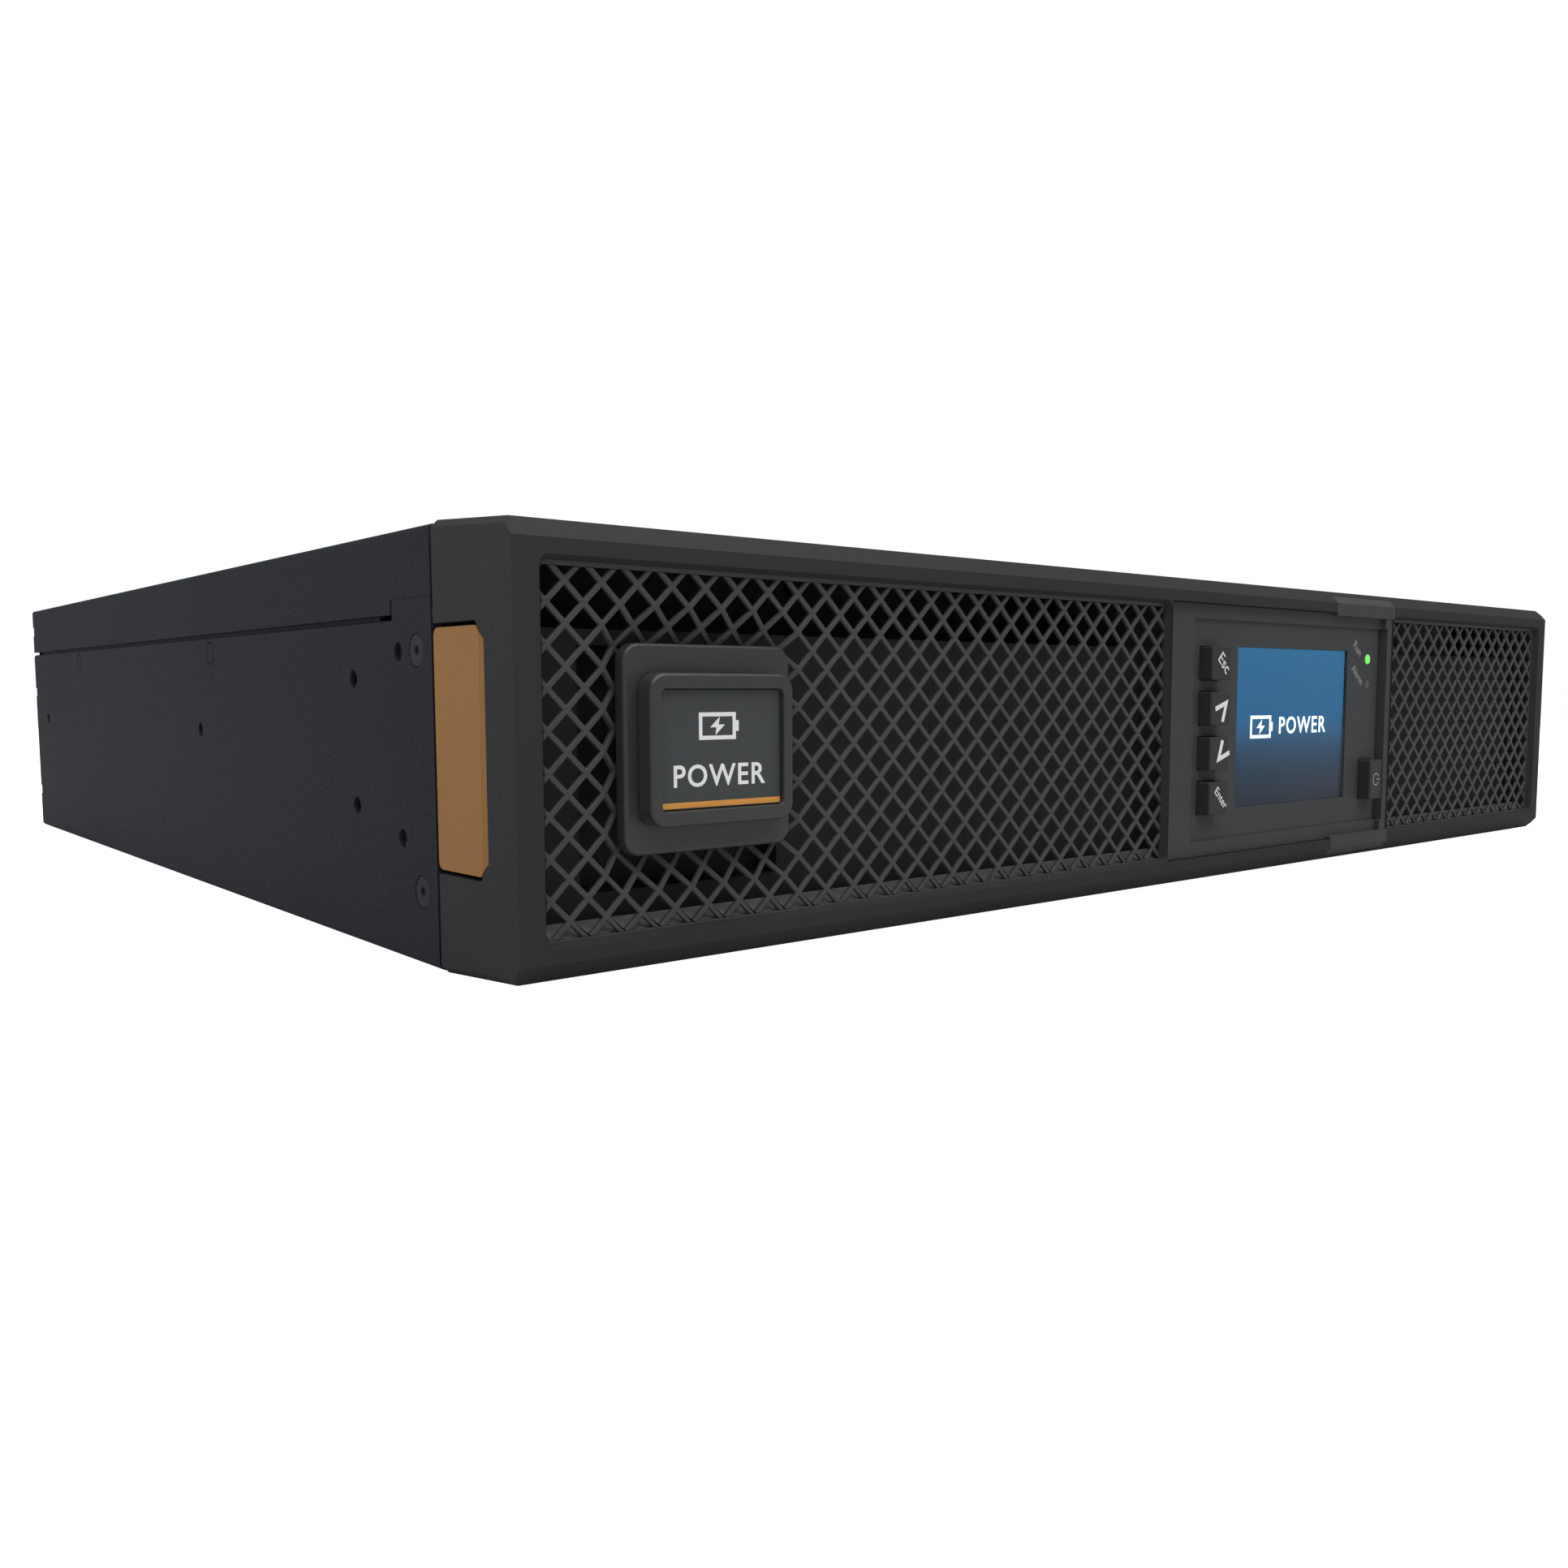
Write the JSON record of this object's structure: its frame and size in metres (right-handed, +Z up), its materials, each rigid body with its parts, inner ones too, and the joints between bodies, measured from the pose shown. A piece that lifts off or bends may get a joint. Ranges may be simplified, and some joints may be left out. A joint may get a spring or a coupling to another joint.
{
  "type": "uninterruptible power supply",
  "caption": "Flat rack or tower power supply with a meshed front bezel, turning badge, colour display with keys, side grips, and a rear with sockets and fans.",
  "frame": {"origin": "centre of the footprint at the resting surface", "axes": "+X to the right seen from the front, -Y out of the front bezel, +Z up"},
  "size_m": [0.43, 0.404, 0.085],
  "materials": {
    "case_paint": "fine charcoal powder coat",
    "zinc_sheet": "zinc-plated sheet steel",
    "door_paint": "matt black paint",
    "screw_steel": "plated screws",
    "bezel_plastic": "finely textured dark grey moulding",
    "mesh_paint": "satin dark grey",
    "badge_plastic": "satin charcoal moulding",
    "badge_print": "printed label",
    "orange_plastic": "textured orange-brown moulding",
    "display_plastic": "fine matt charcoal",
    "screen_glass": "clear lens",
    "screen_image": "lit start screen",
    "button_plastic": "charcoal caps with pale legends",
    "reset_cap": "pale push cap",
    "terminal_plastic": "green terminal block",
    "power_plastic": "dark grey cap",
    "light_guide": "translucent light guide",
    "board_laminate": "green solder mask",
    "battery_case": "ABS battery case",
    "terminal_metal": "tinned brass",
    "lead_sleeve": "red insulation",
    "connector_plastic": "black housing",
    "sink_aluminium": "extruded, raw",
    "capacitor_sleeve": "shrink sleeve",
    "choke_winding": "enamelled copper",
    "ferrite_core": "ferrite and tape",
    "relay_shell": "relay covers",
    "socket_plastic": "black nylon",
    "fan_plastic": "black glass-filled plastic",
    "guard_wire": "plated wire"
  },
  "bodies": {
    "case": {"chassis_base": "case_paint", "top_cover": "case_paint", "rear_panel": "case_paint", "front_bulkhead": "zinc_sheet", "front_screws": "screw_steel", "battery_door": "door_paint", "intake_baffle": "door_paint", "battery_tray": "zinc_sheet", "battery_front_left": "battery_case", "battery_front_right": "battery_case", "battery_rear_left": "battery_case", "battery_rear_right": "battery_case", "battery_terminals": "terminal_metal", "battery_leads": "lead_sleeve", "battery_connector": "connector_plastic", "power_board": "board_laminate", "board_standoffs": "terminal_metal", "rectifier_heat_sink": "sink_aluminium", "inverter_heat_sink": "sink_aluminium", "bus_capacitors": "capacitor_sleeve", "power_inductors": "choke_winding", "transformer": "ferrite_core", "relays": "relay_shell", "control_board": "board_laminate", "control_headers": "connector_plastic", "outlet_sockets": "socket_plastic", "inlet_socket": "socket_plastic", "breaker_body": "socket_plastic", "breaker_nut": "terminal_metal", "usb_port": "zinc_sheet", "network_port": "socket_plastic", "terminal_block": "terminal_plastic", "card_slot_cover": "case_paint", "external_battery_port": "socket_plastic", "rear_screws": "screw_steel", "fan_frames": "fan_plastic", "fan_guards": "guard_wire", "display_socket": "connector_plastic"},
    "bezel": {"bezel_frame": "bezel_plastic", "left_grille": "mesh_paint", "right_grille": "mesh_paint", "badge_mount": "badge_plastic", "display_housing": "display_plastic", "screen_lens": "screen_glass", "screen_panel": "screen_image", "display_board": "board_laminate", "display_plug": "connector_plastic", "status_lights": "light_guide"},
    "badge": {"badge_block": "badge_plastic", "badge_label": "badge_print"},
    "esc_key": {"esc_button": "button_plastic"},
    "up_key": {"up_button": "button_plastic"},
    "down_key": {"down_button": "button_plastic"},
    "enter_key": {"enter_button": "button_plastic"},
    "power_key": {"power_button": "power_plastic"},
    "latch_left": {"left_latch": "orange_plastic"},
    "latch_right": {"right_latch": "orange_plastic"},
    "fan_inner": {"fan_rotor_inner": "fan_plastic"},
    "fan_outer": {"fan_rotor_outer": "fan_plastic"},
    "breaker_reset": {"breaker_button": "reset_cap"}
  },
  "joints": [
    {"name": "bezel_pull", "type": "slide", "parent": "case", "child": "bezel", "axis": [0, -1, 0], "range_m": [0, 0.045]},
    {"name": "badge_turn", "type": "hinge", "parent": "bezel", "child": "badge", "pos_m": [-0.1719, -0.1972, 0.0426], "axis": [0, 1, 0], "range_deg": [0, 90]},
    {"name": "esc_press", "type": "slide", "parent": "bezel", "child": "esc_key", "axis": [0, 1, 0], "range_m": [0, 0.001], "stiffness_N_per_m": 400},
    {"name": "up_press", "type": "slide", "parent": "bezel", "child": "up_key", "axis": [0, 1, 0], "range_m": [0, 0.001], "stiffness_N_per_m": 400},
    {"name": "down_press", "type": "slide", "parent": "bezel", "child": "down_key", "axis": [0, 1, 0], "range_m": [0, 0.001], "stiffness_N_per_m": 400},
    {"name": "enter_press", "type": "slide", "parent": "bezel", "child": "enter_key", "axis": [0, 1, 0], "range_m": [0, 0.001], "stiffness_N_per_m": 400},
    {"name": "power_press", "type": "slide", "parent": "bezel", "child": "power_key", "axis": [0, 1, 0], "range_m": [0, 0.001], "stiffness_N_per_m": 500},
    {"name": "latch_left_press", "type": "slide", "parent": "bezel", "child": "latch_left", "axis": [1, 0, 0], "range_m": [0, 0.002], "stiffness_N_per_m": 3000},
    {"name": "latch_right_press", "type": "slide", "parent": "bezel", "child": "latch_right", "axis": [-1, 0, 0], "range_m": [0, 0.002], "stiffness_N_per_m": 3000},
    {"name": "fan_inner_spin", "type": "hinge", "parent": "case", "child": "fan_inner", "pos_m": [0.1, 0.1864, 0.0425], "axis": [0, 1, 0], "continuous": true},
    {"name": "fan_outer_spin", "type": "hinge", "parent": "case", "child": "fan_outer", "pos_m": [0.168, 0.1864, 0.0425], "axis": [0, 1, 0], "continuous": true},
    {"name": "breaker_press", "type": "slide", "parent": "case", "child": "breaker_reset", "axis": [0, -1, 0], "range_m": [0, 0.0015], "stiffness_N_per_m": 800}
  ]
}
